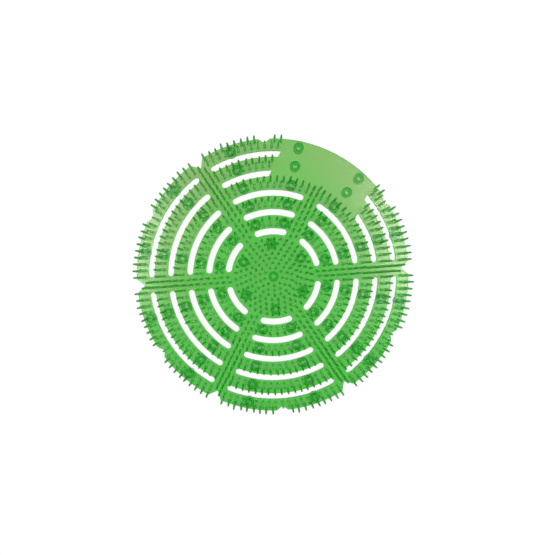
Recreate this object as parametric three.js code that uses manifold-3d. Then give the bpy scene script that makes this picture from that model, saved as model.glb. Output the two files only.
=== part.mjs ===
// A round urinal deodorizer screen, moulded in one piece of soft scented plastic.
// A thin plate stands on round feet, curved slots in six sectors drain it, notches
// lighten its rim, and rows of slim bristles cover its top but for a bare label area.
// Millimetres, +Z up, the feet stand on z = 0 and the bare area points to +Y.

import * as THREE from 'three';
import { mergeVertices } from 'three/addons/utils/BufferGeometryUtils.js';
import Module from 'manifold-3d';

// Plate
const plateRadius = 90;
const plateThickness = 2;
const rimBand = 7.6;
const slotWidth = 4.1;
const bandWidth = 8.5;
const slotRings = 5;
const sectors = 6;
const spokeWidth = 10;

// Bare label area, over the outer bands at the +Y side
const labelWidth = 63.4;
const labelBands = 2;

// Notches in the rim
const deepNotchDepth = 5.2;
const deepNotchWidth = 9.2;
const shallowNotchDepth = 2.8;
const shallowNotchWidth = 8;

// Feet under the plate
const footHeight = 3.5;
const footRadius = 3.5;
const footDraft = 0.2;
const footSpread = THREE.MathUtils.degToRad(15);
const innerFootRadius = 22;

// Bristles on the plate
const bristleHeight = 12;
const bristleRadius = 1.25;
const bristleSpacing = 4.12;
const bristleMargin = 1.5;
const rowInset = 1.9;
const rowGap = 3.6;
const rowEndGap = 5.2;
const discRingGap = 3.13;
const discEdgeGap = 3.2;
const smallestRing = 5;
const columnOffset = 1.7;
const columnsPerPitch = 3;
const columnStagger = 1.4;

// How finely curves are drawn. The sag is how far a straight side may stand off a slot's arc
const slotSag = 0.6;
const rimArcStep = THREE.MathUtils.degToRad(10.5);
const slotEndSteps = 3;
const footSides = 6;
const bristleSides = 3;
const sunk = plateThickness / 2;

// Sizes that follow
const slotPitch = slotWidth + bandWidth;
const lastSlotRadius = plateRadius - rimBand - slotWidth / 2;
const firstSlotRadius = lastSlotRadius - (slotRings - 1) * slotPitch;
const discRadius = firstSlotRadius - slotWidth / 2;
const plateTop = footHeight + plateThickness;
const sectorAngle = (2 * Math.PI) / sectors;
const labelAngle = Math.PI / 2;
const firstSectorAxis = labelAngle + sectorAngle / 2;
const labelInnerRadius = lastSlotRadius - (labelBands - 1) * slotPitch - slotWidth / 2;

const slotRadii = [];
for (let ring = 0; ring < slotRings; ring += 1) {
  slotRadii.push(firstSlotRadius + ring * slotPitch);
}

const sectorAxes = [];
for (let sector = 0; sector < sectors; sector += 1) {
  sectorAxes.push(firstSectorAxis + sector * sectorAngle);
}

function polar(radius, angle) {
  return new THREE.Vector2(radius * Math.cos(angle), radius * Math.sin(angle));
}

// Points along an arc, both ends included
function arcPoints(centre, radius, start, end, steps) {
  const points = [];
  for (let step = 0; step <= steps; step += 1) {
    points.push(polar(radius, start + ((end - start) * step) / steps).add(centre));
  }
  return points;
}

// Rim of the plate

// A V drawn from a low angle to a high one
function notchPoints(angle, width, depth) {
  const offsets = [[-width / 2, 0], [0, depth], [width / 2, 0]];
  return offsets.map(([across, down]) => {
    const along = Math.sqrt(plateRadius ** 2 - across ** 2) - down;
    return new THREE.Vector2(along, across).rotateAround(new THREE.Vector2(), angle);
  });
}

function rimPoints() {
  const notches = [];
  for (const [sector, axis] of sectorAxes.entries()) {
    notches.push({ angle: axis, width: shallowNotchWidth, depth: shallowNotchDepth });
    const border = axis + sectorAngle / 2;
    const facesLabel = sector === sectors - 1;
    if (!facesLabel) {
      notches.push({ angle: border, width: deepNotchWidth, depth: deepNotchDepth });
    }
  }
  const points = [];
  notches.forEach((notch, index) => {
    const next = notches[(index + 1) % notches.length];
    const turn = index + 1 < notches.length ? 0 : 2 * Math.PI;
    points.push(...notchPoints(notch.angle, notch.width, notch.depth));
    const start = notch.angle + Math.asin(notch.width / 2 / plateRadius);
    const end = next.angle + turn - Math.asin(next.width / 2 / plateRadius);
    const steps = Math.ceil((end - start) / rimArcStep);
    points.push(...arcPoints(new THREE.Vector2(), plateRadius, start, end, steps).slice(1, -1));
  });
  return points;
}

// Slots

// The rounded end of a slot, from its outer edge to its inner one or back
function slotEnd(radius, angle, side) {
  const centre = polar(radius, angle);
  const start = side > 0 ? angle : angle + Math.PI;
  return arcPoints(centre, slotWidth / 2, start, start + Math.PI, slotEndSteps).slice(1, -1);
}

// Where a slot stops short of the label area: the same straight line at both edges
function labelEndAngle(radius, side) {
  return labelAngle + side * Math.asin(labelWidth / 2 / radius);
}

function slotPoints(ring, axis) {
  const radius = slotRadii[ring];
  const inner = radius - slotWidth / 2;
  const outer = radius + slotWidth / 2;
  const reach = sectorAngle / 2 - Math.asin((spokeWidth / 2 + slotWidth / 2) / radius);
  const fromLabel = Math.atan2(Math.sin(axis - labelAngle), Math.cos(axis - labelAngle));
  const cut = ring >= slotRings - labelBands && Math.abs(fromLabel) < sectorAngle;
  const cutLow = cut && fromLabel > 0;
  const cutHigh = cut && fromLabel < 0;
  const outerStart = cutLow ? labelEndAngle(outer, 1) : axis - reach;
  const innerStart = cutLow ? labelEndAngle(inner, 1) : axis - reach;
  const outerEnd = cutHigh ? labelEndAngle(outer, -1) : axis + reach;
  const innerEnd = cutHigh ? labelEndAngle(inner, -1) : axis + reach;
  const step = 2 * Math.acos(1 - slotSag / outer);
  const steps = Math.ceil((outerEnd - outerStart) / step);
  const origin = new THREE.Vector2();
  return [
    ...arcPoints(origin, outer, outerStart, outerEnd, steps),
    ...(cutHigh ? [] : slotEnd(radius, axis + reach, 1)),
    ...arcPoints(origin, inner, innerEnd, innerStart, steps),
    ...(cutLow ? [] : slotEnd(radius, axis - reach, -1)),
  ];
}

function plateGeometry() {
  const outline = new THREE.Shape(rimPoints());
  for (const axis of sectorAxes) {
    for (let ring = 0; ring < slotRings; ring += 1) {
      outline.holes.push(new THREE.Path(slotPoints(ring, axis)));
    }
  }
  const geometry = new THREE.ExtrudeGeometry(outline, { depth: plateThickness, bevelEnabled: false });
  geometry.translate(0, 0, footHeight);
  return geometry;
}

// Feet

function footPlaces() {
  const places = [new THREE.Vector2()];
  for (const axis of sectorAxes) {
    places.push(polar(innerFootRadius, axis));
    for (const slotRadius of slotRadii) {
      const edge = slotRadius + slotWidth / 2;
      const width = slotRadius === lastSlotRadius ? rimBand : bandWidth;
      places.push(polar(edge + width / 2, axis - footSpread));
      places.push(polar(edge + width / 2, axis + footSpread));
    }
  }
  return places;
}

function footGeometry(place) {
  const height = footHeight + sunk;
  const geometry = new THREE.CylinderGeometry(footRadius, footRadius - footDraft, height, footSides);
  geometry.rotateX(Math.PI / 2);
  geometry.rotateZ(place.angle());
  geometry.translate(place.x, place.y, height / 2);
  return geometry;
}

// Bristles

// Rings on the disc inside the slots, each with as many bristles as the spacing allows
function discBristles() {
  const places = [];
  let shifted = true;
  for (let radius = discRadius - discEdgeGap; radius > smallestRing; radius -= discRingGap) {
    const count = Math.round((2 * Math.PI * radius) / bristleSpacing);
    for (let index = 0; index < count; index += 1) {
      const angle = firstSectorAxis + ((index + (shifted ? 0.5 : 0)) * 2 * Math.PI) / count;
      places.push(polar(radius, angle));
    }
    shifted = !shifted;
  }
  return places;
}

// Two rows on each band between the slots, spread between the spokes
function bandBristles(axis) {
  const places = [];
  for (const slotRadius of slotRadii) {
    const edge = slotRadius + slotWidth / 2;
    for (const radius of [edge + rowInset, edge + rowInset + rowGap]) {
      const half = sectorAngle / 2 - Math.asin(rowEndGap / radius);
      const gaps = Math.floor((2 * half * radius) / bristleSpacing);
      for (let index = 0; index <= gaps; index += 1) {
        const offset = -half + (2 * half * index) / gaps;
        const nearNotch = Math.abs(offset * radius) < shallowNotchWidth / 2;
        if (!nearNotch || radius + bristleRadius < plateRadius - shallowNotchDepth) {
          places.push(polar(radius, axis + offset));
        }
      }
    }
  }
  return places;
}

// Two staggered columns along each spoke
function spokeBristles(border) {
  const places = [];
  const end = plateRadius - deepNotchDepth - bristleMargin;
  for (const side of [-1, 1]) {
    const shift = side > 0 ? columnStagger : 0;
    for (let along = firstSlotRadius - shift; along < end; along += slotPitch / columnsPerPitch) {
      places.push(new THREE.Vector2(along, side * columnOffset).rotateAround(new THREE.Vector2(), border));
    }
  }
  return places;
}

function onLabel(place) {
  const radius = place.length();
  return place.y > 0 && radius > labelInnerRadius - bristleMargin
    && Math.abs(place.x) < labelWidth / 2 + bristleMargin;
}

function bristlePlaces() {
  const places = discBristles();
  for (const axis of sectorAxes) {
    places.push(...bandBristles(axis));
    places.push(...spokeBristles(axis + sectorAngle / 2));
  }
  return places.filter((place) => !onLabel(place));
}

function bristleGeometry(place) {
  const height = bristleHeight + sunk;
  const rootRadius = (bristleRadius * height) / bristleHeight;
  const geometry = new THREE.ConeGeometry(rootRadius, height, bristleSides);
  geometry.rotateX(Math.PI / 2);
  geometry.rotateZ(place.angle() + Math.PI / 2);
  geometry.translate(place.x, place.y, plateTop - sunk + height / 2);
  return geometry;
}

// Joining everything into one solid

const wasm = await Module();
wasm.setup();

function toSolid(geometry) {
  geometry.deleteAttribute('normal');
  geometry.deleteAttribute('uv');
  const welded = mergeVertices(geometry);
  return new wasm.Manifold(new wasm.Mesh({
    numProp: 3,
    vertProperties: new Float32Array(welded.attributes.position.array),
    triVerts: new Uint32Array(welded.index.array),
  }));
}

// Joins neighbours in pairs, so that no solid is joined more often than it needs
function joinAll(solids) {
  let joined = solids;
  while (joined.length > 1) {
    const next = [];
    for (let index = 0; index < joined.length; index += 2) {
      next.push(index + 1 < joined.length ? joined[index].add(joined[index + 1]) : joined[index]);
    }
    joined = next;
  }
  return joined[0];
}

function toGeometry(solid) {
  const mesh = solid.getMesh();
  const geometry = new THREE.BufferGeometry();
  geometry.setAttribute('position', new THREE.BufferAttribute(mesh.vertProperties, 3));
  geometry.setIndex(new THREE.BufferAttribute(mesh.triVerts, 1));
  geometry.computeVertexNormals();
  return geometry;
}

const feet = footPlaces().map((place) => toSolid(footGeometry(place)));
const bristles = bristlePlaces().map((place) => toSolid(bristleGeometry(place)));
const plate = toSolid(plateGeometry());

const softPlastic = new THREE.MeshStandardMaterial({ color: 0x52b043, roughness: 0.38, metalness: 0 });
const screen = new THREE.Mesh(toGeometry(joinAll([...feet, ...bristles]).add(plate)), softPlastic);
screen.name = 'screen';

const deodorizerScreen = new THREE.Group();
deodorizerScreen.add(screen);

export default deodorizerScreen;
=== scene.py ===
from math import asin, atan2, cos, floor, pi, radians, sin
from random import Random

import bpy
from mathutils import Matrix, Vector


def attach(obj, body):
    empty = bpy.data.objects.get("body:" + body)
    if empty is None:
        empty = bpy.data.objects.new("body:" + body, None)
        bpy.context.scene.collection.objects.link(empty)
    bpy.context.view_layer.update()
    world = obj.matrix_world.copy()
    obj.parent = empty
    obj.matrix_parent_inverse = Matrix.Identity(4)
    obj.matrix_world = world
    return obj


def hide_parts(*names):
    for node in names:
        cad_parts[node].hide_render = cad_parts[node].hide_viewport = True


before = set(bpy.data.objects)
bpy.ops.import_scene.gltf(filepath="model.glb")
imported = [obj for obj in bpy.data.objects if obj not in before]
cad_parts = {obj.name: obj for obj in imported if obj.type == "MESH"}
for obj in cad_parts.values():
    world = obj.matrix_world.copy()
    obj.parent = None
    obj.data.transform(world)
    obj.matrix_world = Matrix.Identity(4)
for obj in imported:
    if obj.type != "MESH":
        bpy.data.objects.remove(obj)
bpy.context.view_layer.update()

print("frame loaded")

# The screen's layout, in metres: the feet stand on z = 0 and the bare area points to +Y
layout = {
    "plateRadius": 0.09,
    "plateThickness": 0.002,
    "footHeight": 0.0035,
    "slotWidth": 0.0041,
    "slotPitch": 0.0126,
    "lastSlotRadius": 0.08035,
    "slotRings": 5,
    "sectors": 6,
    "spokeWidth": 0.01,
    "labelWidth": 0.0634,
    "labelBands": 2,
}

plateTop = layout["footHeight"] + layout["plateThickness"]
plateMiddle = layout["footHeight"] + layout["plateThickness"] / 2
sectorAngle = 2 * pi / layout["sectors"]
labelAngle = pi / 2
sectorAxes = [labelAngle + (sector + 0.5) * sectorAngle for sector in range(layout["sectors"])]
firstSlotRadius = layout["lastSlotRadius"] - (layout["slotRings"] - 1) * layout["slotPitch"]
slotRadii = [firstSlotRadius + ring * layout["slotPitch"] for ring in range(layout["slotRings"])]
discRadius = firstSlotRadius - layout["slotWidth"] / 2
labelInner = slotRadii[-layout["labelBands"]] - layout["slotWidth"] / 2


def polar(radius, angle):
    return Vector((radius * cos(angle), radius * sin(angle), 0))


# Modelling helpers


def clearSelection():
    if bpy.context.object and bpy.context.object.mode != "OBJECT":
        bpy.ops.object.mode_set(mode="OBJECT")
    bpy.ops.object.select_all(action="DESELECT")


def makeActive(piece):
    clearSelection()
    piece.select_set(True)
    bpy.context.view_layer.objects.active = piece
    return piece


def editMode(piece):
    makeActive(piece)
    bpy.ops.object.mode_set(mode="EDIT")


def objectMode():
    bpy.ops.object.mode_set(mode="OBJECT")


# Selects the faces of the active piece whose middle and normal pass the test
def selectFaces(piece, test):
    bpy.ops.mesh.select_mode(type="FACE")
    bpy.ops.mesh.select_all(action="DESELECT")
    objectMode()
    for face in piece.data.polygons:
        face.select = test(face.center, face.normal)
    bpy.ops.object.mode_set(mode="EDIT")


def applyPlace(piece):
    makeActive(piece)
    bpy.ops.object.transform_apply(location=True, rotation=True, scale=True)


def applyModifier(piece, kind, **settings):
    makeActive(piece)
    modifier = piece.modifiers.new(kind.lower(), kind)
    for name, value in settings.items():
        setattr(modifier, name, value)
    bpy.ops.object.modifier_apply(modifier=modifier.name)


def combine(piece, other, operation):
    applyModifier(piece, "BOOLEAN", object=other, operation=operation, solver="MANIFOLD")
    bpy.data.objects.remove(other)


def joinPieces(pieces, name):
    clearSelection()
    for piece in pieces:
        piece.select_set(True)
    bpy.context.view_layer.objects.active = pieces[0]
    bpy.ops.object.join()
    joined = bpy.context.object
    joined.name = name
    return joined


# A copy with its own mesh, put in place by the matrix
def placeCopy(pattern, matrix):
    piece = pattern.copy()
    piece.data = pattern.data.copy()
    piece.data.transform(matrix)
    bpy.context.collection.objects.link(piece)
    return piece


# Plate with its notched rim and slots

plate = {
    "rimSides": 360,
    "deepNotchDepth": 0.0052,
    "deepNotchWidth": 0.0092,
    "shallowNotchDepth": 0.0028,
    "shallowNotchWidth": 0.008,
    "notchRounding": 0.0006,
    "notchSegments": 4,
    "notchOvershoot": 2,
    "cutterHeight": 0.02,
    "slotStep": radians(2),
    "endSides": 24,
    "edgeRounding": 0.0003,
    "edgeSegments": 2,
    "edgeAngle": radians(60),
    "smoothAngle": radians(42),
}


# A wedge whose tip points to the middle of the plate, standing across the rim
def notchCutter(angle, width, depth):
    overshoot = plate["notchOvershoot"]
    bpy.ops.mesh.primitive_cylinder_add(vertices=4, radius=1, depth=plate["cutterHeight"])
    cutter = bpy.context.object
    cutter.scale = (depth * overshoot, width / 2 * overshoot, 1)
    applyPlace(cutter)
    editMode(cutter)
    bpy.ops.mesh.select_mode(type="EDGE")
    bpy.ops.mesh.select_all(action="DESELECT")
    objectMode()
    for edge in cutter.data.edges:
        ends = [cutter.data.vertices[index].co for index in edge.vertices]
        upright = abs(ends[0].z - ends[1].z) > plate["cutterHeight"] / 2
        edge.select = upright and min(end.x for end in ends) < -depth
    bpy.ops.object.mode_set(mode="EDIT")
    bpy.ops.mesh.bevel(offset=plate["notchRounding"], segments=plate["notchSegments"])
    objectMode()
    reach = layout["plateRadius"] - depth + depth * overshoot
    move = Matrix.Translation((reach, 0, plateMiddle))
    cutter.data.transform(Matrix.Rotation(angle, 4, "Z") @ move)
    return cutter


# The label end of a slot is one straight line, so its cutter is trimmed there later
def slotEnds(ring, axis):
    radius = slotRadii[ring]
    reach = sectorAngle / 2 - asin((layout["spokeWidth"] + layout["slotWidth"]) / 2 / radius)
    fromLabel = atan2(sin(axis - labelAngle), cos(axis - labelAngle))
    cut = ring >= layout["slotRings"] - layout["labelBands"] and abs(fromLabel) < sectorAngle
    low = axis - reach
    high = axis + reach
    return low, high, cut and fromLabel > 0, cut and fromLabel < 0


# A slot is an upright strip spun about the middle of the screen
def slotCutter(ring, axis):
    radius = slotRadii[ring]
    low, high, cutLow, cutHigh = slotEnds(ring, axis)
    bpy.ops.mesh.primitive_plane_add(size=1, rotation=(pi / 2, 0, 0))
    cutter = bpy.context.object
    cutter.scale = (layout["slotWidth"], plate["cutterHeight"], 1)
    cutter.location = (radius, 0, plateMiddle)
    applyPlace(cutter)
    cutter.data.transform(Matrix.Rotation(low, 4, "Z"))
    editMode(cutter)
    bpy.ops.mesh.select_all(action="SELECT")
    steps = max(2, round((high - low) / plate["slotStep"]))
    bpy.ops.mesh.spin(steps=steps, angle=high - low, center=(0, 0, 0), axis=(0, 0, -1))
    bpy.ops.mesh.select_all(action="SELECT")
    bpy.ops.mesh.normals_make_consistent(inside=False)
    objectMode()
    ends = []
    for angle, cut in ((low, cutLow), (high, cutHigh)):
        if not cut:
            bpy.ops.mesh.primitive_cylinder_add(
                vertices=plate["endSides"], radius=layout["slotWidth"] / 2, depth=plate["cutterHeight"]
            )
            end = bpy.context.object
            end.data.transform(Matrix.Translation(polar(radius, angle) + Vector((0, 0, plateMiddle))))
            ends.append(end)
    for end in ends:
        combine(cutter, end, "UNION")
    return cutter


def trimAtLabel(cutter):
    middle = (labelInner + layout["plateRadius"]) / 2
    bpy.ops.mesh.primitive_cube_add(size=1, location=(0, middle, plateMiddle))
    block = bpy.context.object
    block.scale = (layout["labelWidth"], layout["plateRadius"], 2 * plate["cutterHeight"])
    applyPlace(block)
    combine(cutter, block, "DIFFERENCE")


def makePlate():
    bpy.ops.mesh.primitive_cylinder_add(
        vertices=plate["rimSides"],
        radius=layout["plateRadius"],
        depth=layout["plateThickness"],
        location=(0, 0, plateMiddle),
    )
    body = bpy.context.object
    body.name = "screenBody"
    applyPlace(body)
    for sector, axis in enumerate(sectorAxes):
        shallow = notchCutter(axis, plate["shallowNotchWidth"], plate["shallowNotchDepth"])
        combine(body, shallow, "DIFFERENCE")
        if sector < layout["sectors"] - 1:
            border = axis + sectorAngle / 2
            deep = notchCutter(border, plate["deepNotchWidth"], plate["deepNotchDepth"])
            combine(body, deep, "DIFFERENCE")
    for ring in range(layout["slotRings"]):
        cutters = joinPieces([slotCutter(ring, axis) for axis in sectorAxes], "slotCutters")
        if ring >= layout["slotRings"] - layout["labelBands"]:
            trimAtLabel(cutters)
        combine(body, cutters, "DIFFERENCE")
    applyModifier(
        body,
        "BEVEL",
        width=plate["edgeRounding"],
        segments=plate["edgeSegments"],
        limit_method="ANGLE",
        angle_limit=plate["edgeAngle"],
    )
    print("plate made:", len(body.data.polygons), "faces")
    return body


# Feet: short tubes, open below

feet = {
    "radius": 0.0035,
    "hollowRadius": 0.0016,
    "draft": 0.0002,
    "sides": 24,
    "spread": radians(15),
    "innerRadius": 0.022,
    "undersideNormal": -0.9,
    "edgeRounding": 0.0003,
    "edgeSegments": 2,
}


def footPlaces():
    places = [Vector((0, 0, 0))]
    rimBand = layout["plateRadius"] - layout["lastSlotRadius"] - layout["slotWidth"] / 2
    bandWidth = layout["slotPitch"] - layout["slotWidth"]
    for axis in sectorAxes:
        places.append(polar(feet["innerRadius"], axis))
        for slotRadius in slotRadii:
            width = rimBand if slotRadius == slotRadii[-1] else bandWidth
            middle = slotRadius + layout["slotWidth"] / 2 + width / 2
            places.append(polar(middle, axis - feet["spread"]))
            places.append(polar(middle, axis + feet["spread"]))
    return places


def makeFoot():
    height = layout["footHeight"] + layout["plateThickness"] / 2
    bpy.ops.mesh.primitive_cone_add(
        vertices=feet["sides"],
        radius1=feet["radius"] - feet["draft"],
        radius2=feet["radius"],
        depth=height,
        location=(0, 0, height / 2),
    )
    foot = bpy.context.object
    applyPlace(foot)
    editMode(foot)
    selectFaces(foot, lambda middle, normal: normal.z < feet["undersideNormal"])
    bpy.ops.mesh.inset(thickness=feet["radius"] - feet["draft"] - feet["hollowRadius"], depth=0)
    bpy.ops.mesh.extrude_region_move(TRANSFORM_OT_translate={"value": (0, 0, layout["footHeight"])})
    bpy.ops.mesh.select_all(action="SELECT")
    bpy.ops.mesh.normals_make_consistent(inside=False)
    objectMode()
    applyModifier(
        foot,
        "BEVEL",
        width=feet["edgeRounding"],
        segments=feet["edgeSegments"],
        limit_method="ANGLE",
        angle_limit=plate["edgeAngle"],
    )
    return foot


def makeFeet():
    pattern = makeFoot()
    copies = [placeCopy(pattern, Matrix.Translation(place)) for place in footPlaces()]
    bpy.data.objects.remove(pattern)
    print("feet made:", len(copies))
    return joinPieces(copies, "feet")


# Bristles: slim round pegs that taper to a blunt tip. The profile pairs heights with radii

bristles = {
    "height": 0.012,
    "sides": 8,
    "profile": (
        (0, 0.00115),
        (0.0008, 0.00092),
        (0.0056, 0.0008),
        (0.0108, 0.00062),
        (0.0118, 0.00044),
    ),
    "spacing": 0.00412,
    "margin": 0.0015,
    "reach": 0.00125,
    "rowInset": 0.0019,
    "rowGap": 0.0036,
    "rowEndGap": 0.0052,
    "discRingGap": 0.00313,
    "discEdgeGap": 0.0032,
    "smallestRing": 0.005,
    "columnOffset": 0.0017,
    "columnsPerPitch": 3,
    "columnStagger": 0.0014,
    "lean": radians(1.6),
    "mostLean": radians(3.2),
    "seed": 4,
}


def discBristles():
    places = []
    shifted = True
    radius = discRadius - bristles["discEdgeGap"]
    while radius > bristles["smallestRing"]:
        count = floor(2 * pi * radius / bristles["spacing"] + 0.5)
        for index in range(count):
            turn = (index + (0.5 if shifted else 0)) * 2 * pi / count
            places.append(polar(radius, sectorAxes[0] + turn))
        shifted = not shifted
        radius -= bristles["discRingGap"]
    return places


def bandBristles(axis):
    places = []
    for slotRadius in slotRadii:
        edge = slotRadius + layout["slotWidth"] / 2
        for radius in (edge + bristles["rowInset"], edge + bristles["rowInset"] + bristles["rowGap"]):
            half = sectorAngle / 2 - asin(bristles["rowEndGap"] / radius)
            gaps = floor(2 * half * radius / bristles["spacing"])
            for index in range(gaps + 1):
                offset = -half + 2 * half * index / gaps
                nearNotch = abs(offset * radius) < plate["shallowNotchWidth"] / 2
                clear = radius + bristles["reach"] < layout["plateRadius"] - plate["shallowNotchDepth"]
                if clear or not nearNotch:
                    places.append(polar(radius, axis + offset))
    return places


def spokeBristles(border):
    places = []
    end = layout["plateRadius"] - plate["deepNotchDepth"] - bristles["margin"]
    for side in (-1, 1):
        along = firstSlotRadius - (bristles["columnStagger"] if side > 0 else 0)
        while along < end:
            place = Vector((along, side * bristles["columnOffset"], 0))
            places.append(Matrix.Rotation(border, 3, "Z") @ place)
            along += layout["slotPitch"] / bristles["columnsPerPitch"]
    return places


def onLabel(place):
    inside = abs(place.x) < layout["labelWidth"] / 2 + bristles["margin"]
    return place.y > 0 and inside and place.length > labelInner - bristles["margin"]


def bristlePlaces():
    places = discBristles()
    for axis in sectorAxes:
        places += bandBristles(axis)
        places += spokeBristles(axis + sectorAngle / 2)
    return [place for place in places if not onLabel(place)]


def makeBristle():
    root = layout["plateThickness"] / 2
    firstRadius = bristles["profile"][0][1]
    bpy.ops.mesh.primitive_circle_add(
        vertices=bristles["sides"], radius=firstRadius, fill_type="NGON", location=(0, 0, -root)
    )
    bristle = bpy.context.object
    applyPlace(bristle)
    editMode(bristle)
    bpy.ops.mesh.select_all(action="SELECT")
    height = -root
    radius = firstRadius
    for nextHeight, nextRadius in bristles["profile"]:
        rise = (0, 0, nextHeight - height)
        bpy.ops.mesh.extrude_region_move(TRANSFORM_OT_translate={"value": rise})
        bpy.ops.transform.resize(value=(nextRadius / radius, nextRadius / radius, 1))
        height = nextHeight
        radius = nextRadius
    rise = (0, 0, bristles["height"] - height)
    bpy.ops.mesh.extrude_region_move(TRANSFORM_OT_translate={"value": rise})
    bpy.ops.mesh.merge(type="CENTER")
    bpy.ops.mesh.select_all(action="SELECT")
    bpy.ops.mesh.normals_make_consistent(inside=False)
    objectMode()
    return bristle


def makeBristles():
    pattern = makeBristle()
    draw = Random(bristles["seed"])
    copies = []
    for place in bristlePlaces():
        heading = draw.uniform(0, 2 * pi)
        lean = abs(draw.gauss(0, bristles["lean"]))
        tilt = Matrix.Rotation(min(lean, bristles["mostLean"]), 4, (cos(heading), sin(heading), 0))
        turn = Matrix.Rotation(atan2(place.y, place.x), 4, "Z")
        move = Matrix.Translation(place + Vector((0, 0, plateTop)))
        copies.append(placeCopy(pattern, move @ tilt @ turn))
    bpy.data.objects.remove(pattern)
    print("bristles made:", len(copies))
    return joinPieces(copies, "bristles")


# Materials


# Wraps a node's socket, so that shader sums are written as sums
class Wire:
    def __init__(self, tree, socket=None):
        self.tree = tree
        self.socket = socket

    def node(self, kind, settings, sockets, output=0):
        made = self.tree.nodes.new(kind)
        for name, value in settings.items():
            setattr(made, name, value)
        for name, value in sockets.items():
            if isinstance(value, Wire):
                self.tree.links.new(value.socket, made.inputs[name])
            else:
                made.inputs[name].default_value = value
        return Wire(self.tree, made.outputs[output] if made.outputs else None)

    def maths(self, operation, first, second):
        return self.node("ShaderNodeMath", {"operation": operation}, {0: first, 1: second})

    def __add__(self, other):
        return self.maths("ADD", self, other)

    def __radd__(self, other):
        return self.maths("ADD", other, self)

    def __sub__(self, other):
        return self.maths("SUBTRACT", self, other)

    def __rsub__(self, other):
        return self.maths("SUBTRACT", other, self)

    def __mul__(self, other):
        return self.maths("MULTIPLY", self, other)

    def __rmul__(self, other):
        return self.maths("MULTIPLY", other, self)


def blank(name):
    material = bpy.data.materials.new(name)
    material.use_nodes = True
    material.node_tree.nodes.clear()
    return material, Wire(material.node_tree)


# The colour sockets of a Mix node come after those for numbers and vectors
def mixColours(tree, factor, first, second):
    settings = {"data_type": "RGBA"}
    return tree.node("ShaderNodeMix", settings, {0: factor, 6: first, 7: second}, 2)


plastic = {
    "deepColour": (0.02, 0.6, 0.02, 1),
    # The pale colour and the pale tint are painted glare: the paler, yellower plastic where the lamps'
    # glare lies
    "glareColour": (0.22, 0.6, 0.16, 1),
    "tipColour": (0.01, 0.24, 0.02, 1),
    "deepTint": (0.35, 0.6, 0.15, 1),
    "glareTint": (1, 0.56, 0.32, 1),
    "bristleTint": (0.85, 1, 0.55, 1),
    "footTint": (0.003, 0.45, 0.02, 1),
    "edgeTint": (0.6, 0.5, 0.25, 1),
    "edgeWidth": 0.0007,
    "plateClear": 0.9,
    "bristleClear": 0.75,
    "tipClear": 0.25,
    # Where the painted glare lies: growing out to the rim on one half of the plate, most at that
    # half's two sides, made patchy by a noise mottle
    "glareFrom": 0.03,
    "glareTurn": radians(116),
    "glareStart": -0.06,
    "glareEnd": 0.03,
    "glareSideStart": 0.01,
    "glareSideEnd": 0.06,
    "glareSideShare": 0.35,
    "rootHeight": 0.001,
    "tipShare": 0.85,
    "footFadeFrom": 0.0004,
    "footFadeTo": 0.0001,
    "roughness": 0.2,
    "ior": 1.4,
    "specular": 0.3,
    "absorption": (0.15, 0.9, 0.5, 1),
    "absorptionDensity": 700,
    "glareMottleSize": 160,
    "glareMottleShare": 0.25,
    "glareMottleMiddle": 0.5,
    "grainSize": 900,
    "grainStrength": 0.3,
    "grainDepth": 0.00003,
}


# Rises from 0 to 1 as the value goes from start to end
def fade(tree, value, start, end):
    settings = {"interpolation_type": "SMOOTHSTEP"}
    sockets = {"Value": value, "From Min": start, "From Max": end}
    return tree.node("ShaderNodeMapRange", settings, sockets)


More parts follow.
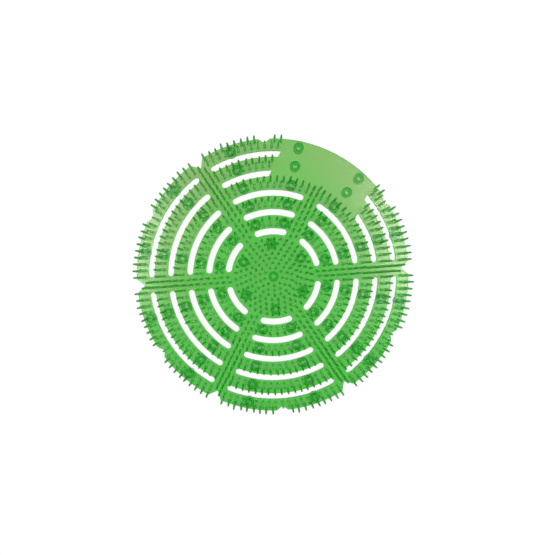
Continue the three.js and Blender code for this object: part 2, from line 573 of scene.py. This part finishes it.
def softPlastic():
    material, tree = blank("softGreenPlastic")
    place = tree.node("ShaderNodeTexCoord", {}, {}, "Object")
    height = tree.node("ShaderNodeSeparateXYZ", {}, {0: place}, "Z")
    across = tree.node("ShaderNodeSeparateXYZ", {}, {0: place}, "X")
    ahead = tree.node("ShaderNodeSeparateXYZ", {}, {0: place}, "Y")
    fromMiddle = tree.maths("SQRT", across * across + ahead * ahead, 0)
    # Painted glare: a mask towards the rim on one half, strongest at its left and right sides where
    # the lamps' glare falls, broken up by noise
    towardsGlare = cos(plastic["glareTurn"]) * across + sin(plastic["glareTurn"]) * ahead
    aside = sin(plastic["glareTurn"]) * across - cos(plastic["glareTurn"]) * ahead
    onGlareSide = fade(tree, tree.maths("ABSOLUTE", aside, 0), plastic["glareSideStart"], plastic["glareSideEnd"])
    rim = layout["plateRadius"]
    outwards = fade(tree, fromMiddle, plastic["glareFrom"], rim)
    onGlareHalf = fade(tree, towardsGlare, plastic["glareStart"], plastic["glareEnd"])
    noise = tree.node("ShaderNodeTexNoise", {}, {"Vector": place, "Scale": plastic["glareMottleSize"]})
    glareMottle = plastic["glareMottleShare"] * (noise - plastic["glareMottleMiddle"])
    paintedGlare = outwards * onGlareHalf * (1 - plastic["glareSideShare"] + plastic["glareSideShare"] * onGlareSide + glareMottle)
    onEdge = fade(tree, fromMiddle, rim - plastic["edgeWidth"], rim)
    fadeFrom = layout["footHeight"] - plastic["footFadeFrom"]
    onFoot = 1 - fade(tree, height, fadeFrom, layout["footHeight"] - plastic["footFadeTo"])
    onBristle = fade(tree, height, plateTop, plateTop + plastic["rootHeight"])
    tipTop = plateTop + bristles["height"]
    toTip = fade(tree, height, plateTop + bristles["height"] * plastic["tipShare"], tipTop)
    # The painted glare pales the milky colour and the clear tint
    colour = mixColours(tree, paintedGlare, plastic["deepColour"], plastic["glareColour"])
    colour = mixColours(tree, toTip, colour, plastic["tipColour"])
    tint = mixColours(tree, paintedGlare, plastic["deepTint"], plastic["glareTint"])
    tint = mixColours(tree, onEdge, tint, plastic["edgeTint"])
    tint = mixColours(tree, onFoot, tint, plastic["footTint"])
    tint = mixColours(tree, onBristle, tint, plastic["bristleTint"])
    lessOnBristle = (plastic["plateClear"] - plastic["bristleClear"]) * onBristle
    lessAtTip = (plastic["bristleClear"] - plastic["tipClear"]) * toTip
    clearShare = plastic["plateClear"] - lessOnBristle - lessAtTip
    grain = tree.node("ShaderNodeTexNoise", {}, {"Vector": place, "Scale": plastic["grainSize"]})
    bump = tree.node(
        "ShaderNodeBump",
        {},
        {"Height": grain, "Strength": plastic["grainStrength"], "Distance": plastic["grainDepth"]},
    )
    milky = tree.node(
        "ShaderNodeBsdfPrincipled",
        {},
        {
            "Base Color": colour,
            "Roughness": plastic["roughness"],
            "IOR": plastic["ior"],
            "Specular IOR Level": plastic["specular"],
            "Normal": bump,
        },
    )
    clear = tree.node(
        "ShaderNodeBsdfPrincipled",
        {},
        {
            "Base Color": tint,
            "Roughness": plastic["roughness"],
            "IOR": plastic["ior"],
            "Specular IOR Level": plastic["specular"],
            "Transmission Weight": 1,
            "Normal": bump,
        },
    )
    both = tree.node("ShaderNodeMixShader", {}, {0: clearShare, 1: milky, 2: clear})
    absorption = tree.node(
        "ShaderNodeVolumeAbsorption",
        {},
        {"Color": plastic["absorption"], "Density": plastic["absorptionDensity"]},
    )
    tree.node("ShaderNodeOutputMaterial", {}, {"Surface": both, "Volume": absorption})
    return material


backdrop = {
    "size": 6,
    "colour": (0.9, 0.9, 0.9, 1),
    "whiteShare": 0.94,
    "level": -0.00005,
}


# 1 for rays that show the backdrop to the camera, straight or by way of the screen
def seenShare(tree):
    straight = tree.node("ShaderNodeLightPath", {}, {}, "Is Camera Ray")
    mirrored = tree.node("ShaderNodeLightPath", {}, {}, "Is Glossy Ray")
    through = tree.node("ShaderNodeLightPath", {}, {}, "Is Transmission Ray")
    return straight + mirrored + through


def paleFloor():
    material, tree = blank("paleFloor")
    share = seenShare(tree) * backdrop["whiteShare"]
    matt = tree.node("ShaderNodeBsdfDiffuse", {}, {"Color": backdrop["colour"]})
    white = tree.node("ShaderNodeEmission", {}, {"Color": (1, 1, 1, 1), "Strength": 1})
    both = tree.node("ShaderNodeMixShader", {}, {0: share, 1: matt, 2: white})
    tree.node("ShaderNodeOutputMaterial", {}, {"Surface": both})
    return material


# Camera: close above the screen, as the bristles' spread shows

camera = {
    "height": 0.2455,
    "aside": Vector((-0.0073, 0.0007, 0)),
    "aim": Vector((0.0175, -0.042, -1)),
    "turn": radians(26),
    "lens": 23.51,
    "sensor": 36,
    "shiftX": 0.0156,
    "shiftY": 0.0239,
    "clipStart": 0.01,
}


def makeCamera():
    turn = Matrix.Rotation(camera["turn"], 3, "Z")
    forward = (turn @ camera["aim"]).normalized()
    right = (turn @ Vector((1, 0, 0))).normalized()
    up = right.cross(forward).normalized()
    right = forward.cross(up)
    place = turn @ camera["aside"] + Vector((0, 0, camera["height"]))
    data = bpy.data.cameras.new("camera")
    data.lens = camera["lens"]
    data.sensor_width = camera["sensor"]
    data.shift_x = camera["shiftX"]
    data.shift_y = camera["shiftY"]
    data.clip_start = camera["clipStart"]
    made = bpy.data.objects.new("camera", data)
    bpy.context.collection.objects.link(made)
    made.matrix_world = Matrix.Translation(place) @ Matrix((right, up, -forward)).transposed().to_4x4()
    bpy.context.scene.camera = made


# Lights

lights = {
    "worldStrength": 0.3,
    "panelPower": 6.5,
    "panelSize": 0.4,
    "panelPlaces": {
        "leftPanel": Vector((-0.5, 0.12, 0.75)),
        "rightPanel": Vector((0.52, 0.1, 0.75)),
    },
}


def makeLights():
    world = bpy.data.worlds.new("world")
    bpy.context.scene.world = world
    world.use_nodes = True
    tree = Wire(world.node_tree)
    world.node_tree.nodes.clear()
    plain = (1, 1, 1, 1)
    sky = tree.node("ShaderNodeBackground", {}, {"Color": plain, "Strength": lights["worldStrength"]})
    white = tree.node("ShaderNodeBackground", {}, {"Color": plain, "Strength": 1})
    both = tree.node("ShaderNodeMixShader", {}, {0: seenShare(tree), 1: sky, 2: white})
    tree.node("ShaderNodeOutputWorld", {}, {"Surface": both})
    for name, aside in lights["panelPlaces"].items():
        place = Matrix.Rotation(camera["turn"], 3, "Z") @ aside
        data = bpy.data.lights.new(name, "AREA")
        data.energy = lights["panelPower"]
        data.size = lights["panelSize"]
        lamp = bpy.data.objects.new(name, data)
        bpy.context.collection.objects.link(lamp)
        lamp.location = place
        lamp.rotation_euler = (-place).to_track_quat("-Z", "Y").to_euler()


makeCamera()
makeLights()
print("camera and lights placed")

body = makePlate()
combine(body, makeFeet(), "UNION")
combine(body, makeBristles(), "UNION")
makeActive(body)
bpy.ops.object.shade_smooth_by_angle(angle=plate["smoothAngle"])
applyModifier(body, "WEIGHTED_NORMAL", keep_sharp=True)
body.data.materials.clear()
body.data.materials.append(softPlastic())
print("screen joined:", len(body.data.polygons), "faces")
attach(body, "root")
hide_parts("screen")

clearSelection()
bpy.ops.mesh.primitive_plane_add(size=backdrop["size"], location=(0, 0, backdrop["level"]))
ground = bpy.context.object
ground.name = "floor"
ground.data.materials.append(paleFloor())

bpy.context.scene.view_settings.view_transform = "Standard"
